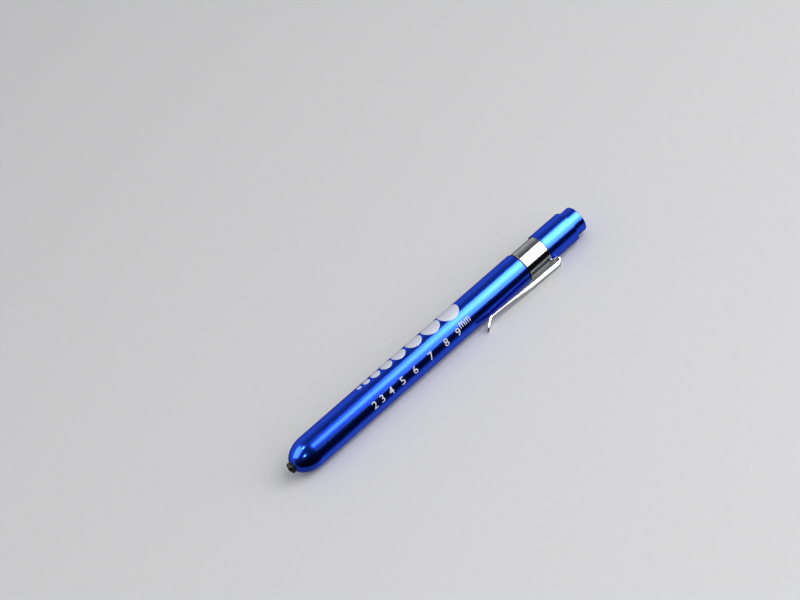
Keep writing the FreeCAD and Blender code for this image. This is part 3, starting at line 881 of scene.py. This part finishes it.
def make_gauge():
    """The pupil gauge: eight dots of 2 to 9 mm in a row, and their numerals in a row beside them."""
    edge = FIRST_DOT_X - DOT_PRINTED * DOT_SIZES[0] / 2
    for size in DOT_SIZES:
        radius = DOT_PRINTED * size / 2
        centre = edge + DOT_GAPS[size] + radius
        dot = disc_mesh(centre, radius)
        wrap(dot, DOT_ANGLES[size])
        print_piece(f"gauge_dot_{size}", dot)
        numeral = text_mesh(str(size), centre + NUMERAL_SHIFT[size], NUMERAL_HEIGHT)
        wrap(numeral, NUMERAL_ANGLE)
        print_piece(f"gauge_numeral_{size}", numeral)
        edge = centre + radius
    unit = text_mesh("mm", UNIT_X, UNIT_HEIGHT, UNIT_WIDTH)
    wrap(unit, UNIT_ANGLE)
    print_piece("gauge_unit", unit)


# Stage

# Both points are millimetres from the middle of the pen's own axis.
CAMERA_AT = (-257.27, -595.97, 449.09)
CAMERA_AIM = (8.71, 32.80, 0.0)
CAMERA_ROLL = 27.64
CAMERA_LENS = 102.15
SENSOR = 36.0


def make_camera():
    """A long lens from the lamp's side, looking down on the pen and rolled so that it rises to the right."""
    data = bpy.data.cameras.new("camera")
    data.lens = CAMERA_LENS
    data.sensor_width = SENSOR
    data.clip_start = 0.01
    data.clip_end = 20.0
    camera = bpy.data.objects.new("camera", data)
    bpy.context.scene.collection.objects.link(camera)
    sight = Vector(CAMERA_AIM) - Vector(CAMERA_AT)
    camera.location = at(OVERALL / 2, 0.0, 0.0) + Vector(CAMERA_AT) * MM
    camera.rotation_mode = "QUATERNION"
    roll = Quaternion(sight.normalized(), math.radians(CAMERA_ROLL))
    camera.rotation_quaternion = roll @ sight.to_track_quat("-Z", "Y")
    bpy.context.scene.camera = camera


# Lights are placed by the direction that they are seen in from the pen: swing is the angle round the pen's
# axis, from +Y towards +Z, and lean is how far they stand towards the tail. Spans are angles too.

# In metres
LIGHT_DISTANCE = 1.5


def add_light(name, swing, lean, span_long, span_round, radiance, shape, seen_in):
    """A soft area light facing the pen, that only lights matt surfaces, or is only mirrored in shiny ones."""
    turn, tilt = math.radians(swing), math.radians(lean)
    outward = Vector((math.sin(tilt), math.cos(tilt) * math.cos(turn), math.cos(tilt) * math.sin(turn)))
    data = bpy.data.lights.new(name, "AREA")
    data.shape = shape
    data.size = 2 * LIGHT_DISTANCE * math.tan(math.radians(span_long / 2))
    data.size_y = 2 * LIGHT_DISTANCE * math.tan(math.radians(span_round / 2)) * math.cos(tilt)
    area = data.size * data.size_y * (math.pi / 4 if shape == "ELLIPSE" else 1.0)
    data.energy = math.pi * area * radiance
    light = bpy.data.objects.new(name, data)
    bpy.context.scene.collection.objects.link(light)
    along = (Vector((1, 0, 0)) - outward * outward.x).normalized()
    across = outward.cross(along)
    light.matrix_world = Matrix.Translation(outward * LIGHT_DISTANCE) @ Matrix(
        (along, across, outward)
    ).transposed().to_4x4()
    light.visible_camera = False
    light.visible_diffuse = seen_in == "diffuse"
    light.visible_glossy = seen_in == "glossy"
    light.visible_transmission = False


# The strip of floor that the clip's outer face mirrors, as a glossy-only light that lies just under the
# floor: where it starts and ends along the pen, its two long edges in y, its height, and its brightness
BOUNCE_START = 93.0
BOUNCE_END = 126.0
BOUNCE_NEAR_Y = -6.7
BOUNCE_FAR_Y = -5.6
BOUNCE_Z = -1.0
BOUNCE_RADIANCE = 1.5


def add_bounce():
    """The brightly lit strip of floor beside the pen, as the clip mirrors it."""
    start, end = at(BOUNCE_START, 0.0, 0.0).x, at(BOUNCE_END, 0.0, 0.0).x
    near, far = BOUNCE_NEAR_Y * MM, BOUNCE_FAR_Y * MM
    data = bpy.data.lights.new("floor_bounce", "AREA")
    data.shape = "RECTANGLE"
    data.size = end - start
    data.size_y = far - near
    data.energy = math.pi * data.size * data.size_y * BOUNCE_RADIANCE
    light = bpy.data.objects.new("floor_bounce", data)
    bpy.context.scene.collection.objects.link(light)
    light.location = ((start + end) / 2, (near + far) / 2, BOUNCE_Z * MM)
    light.rotation_euler = (math.pi, 0.0, 0.0)
    light.visible_camera = False
    light.visible_diffuse = False
    light.visible_glossy = True
    light.visible_transmission = False


# The dim studio round the pen, as polished metal mirrors it: (swing, brightness)
STUDIO = [
    (0, 0.28), (20, 0.43), (36, 0.55), (46, 0.48), (56, 0.36), (66, 0.22), (76, 0.15), (90, 0.08),
    (160, 0.03), (168, 0.0), (203, 0.0), (208, 0.06), (213, 0.24), (219, 0.42), (226, 0.5), (245, 0.48),
    (262, 0.38), (285, 0.26), (360, 0.28),
]
# Past STUDIO_SPLIT, which is below the horizon, the studio changes with the x of the direction looked in.
# Below STUDIO_SKEW_FROM its steps swing round by STUDIO_SKEW degrees per unit of x, up to STUDIO_SKEW_MOST.
# Its strength is STUDIO_FADE's first value plus the second times x, from STUDIO_FADE_LEAST up to 1.
STUDIO_SPLIT = 190.0
STUDIO_SKEW = 140.0
STUDIO_SKEW_FROM = 0.40
STUDIO_SKEW_MOST = 26.0
STUDIO_FADE = (0.60, 1.7)
STUDIO_FADE_LEAST = 0.5
# The room's grey
PALE = 0.52


def make_surround():
    """An even pale room for the camera and for matt surfaces, and a dim graded studio for mirrored ones."""
    world = bpy.data.worlds.new("surround")
    bpy.context.scene.world = world
    world.use_nodes = True
    nodes, links = world.node_tree.nodes, world.node_tree.links
    nodes.clear()

    def math_node(operation, first, second=None):
        node = nodes.new("ShaderNodeMath")
        node.operation = operation
        for socket, value in zip(node.inputs, (first, second)):
            if isinstance(value, bpy.types.NodeSocket):
                links.new(value, socket)
            elif value is not None:
                socket.default_value = value
        return node.outputs["Value"]

    direction = nodes.new("ShaderNodeSeparateXYZ")
    links.new(nodes.new("ShaderNodeTexCoord").outputs["Generated"], direction.inputs["Vector"])
    turn = math_node("ARCTAN2", direction.outputs["Z"], direction.outputs["Y"])
    share = math_node("FRACT", math_node("MULTIPLY", turn, 1 / (2 * math.pi)))
    below = math_node("GREATER_THAN", share, STUDIO_SPLIT / 360)
    skew = math_node("MULTIPLY", math_node("SUBTRACT", STUDIO_SKEW_FROM, direction.outputs["X"]), STUDIO_SKEW)
    skew = math_node("MAXIMUM", math_node("MINIMUM", skew, STUDIO_SKEW_MOST), 0.0)
    skew = math_node("MULTIPLY", math_node("MULTIPLY", skew, 1 / 360), below)
    fade = math_node("MULTIPLY_ADD", direction.outputs["X"], STUDIO_FADE[1])
    fade.node.inputs[2].default_value = STUDIO_FADE[0]
    fade = math_node("MAXIMUM", math_node("MINIMUM", fade, 1.0), STUDIO_FADE_LEAST)
    fade = math_node("MAXIMUM", fade, math_node("SUBTRACT", 1.0, below))
    ramp = nodes.new("ShaderNodeValToRGB")
    elements = ramp.color_ramp.elements
    while len(elements) < len(STUDIO):
        elements.new(0.5)
    for element, (swing, level) in zip(elements, STUDIO):
        element.position = swing / 360
        element.color = (level, level, level * 1.02, 1.0)
    links.new(math_node("SUBTRACT", share, skew), ramp.inputs["Fac"])

    studio = nodes.new("ShaderNodeBackground")
    links.new(ramp.outputs["Color"], studio.inputs["Color"])
    links.new(fade, studio.inputs["Strength"])
    room = nodes.new("ShaderNodeBackground")
    room.inputs["Color"].default_value = (PALE, PALE, PALE * 1.01, 1.0)
    choice = nodes.new("ShaderNodeMixShader")
    links.new(nodes.new("ShaderNodeLightPath").outputs["Is Glossy Ray"], choice.inputs["Fac"])
    links.new(room.outputs["Background"], choice.inputs[1])
    links.new(studio.outputs["Background"], choice.inputs[2])
    links.new(choice.outputs["Shader"], nodes.new("ShaderNodeOutputWorld").inputs["Surface"])


# In metres
FLOOR_REACH = 3.0


def make_floor():
    """The plain pale floor, which shiny surfaces don't mirror."""
    corners = [(x * FLOOR_REACH, y * FLOOR_REACH, 0) for x, y in ((-1, -1), (1, -1), (1, 1), (-1, 1))]
    mesh = bpy.data.meshes.new("floor")
    mesh.from_pydata(corners, [], [(0, 1, 2, 3)])
    mesh.materials.append(floor_paint())
    floor = bpy.data.objects.new("floor", mesh)
    bpy.context.scene.collection.objects.link(floor)
    floor.visible_glossy = False


def make_stage():
    """The floor, the surround, the soft boxes and small lamps that metal mirrors, and a fill for the rest."""
    make_floor()
    make_surround()
    add_light("softbox_wide", 132.5, 36, 30, 78, 5.0, "RECTANGLE", "glossy")
    add_light("softbox_middle", 126, 34, 32, 52, 3.6, "RECTANGLE", "glossy")
    add_light("softbox_core", 127, 30.5, 38, 25, 4.0, "RECTANGLE", "glossy")
    add_light("softbox_nose", 77, -33, 44, 48, 4.0, "RECTANGLE", "glossy")
    add_light("small_lamp", 140, -28, 4, 4, 80.0, "ELLIPSE", "glossy")
    add_light("second_lamp", 93, -10, 4, 4, 70.0, "ELLIPSE", "glossy")
    add_light("front_fill", 138, 22, 60, 60, 3.0, "RECTANGLE", "diffuse")
    add_bounce()
    bpy.context.scene.view_settings.view_transform = "Standard"


dress_cad_nodes()
make_barrel()
make_tail_cap()
make_push_button()
make_lamp()
make_clip()
make_return_spring()
make_gauge()
make_camera()
make_stage()
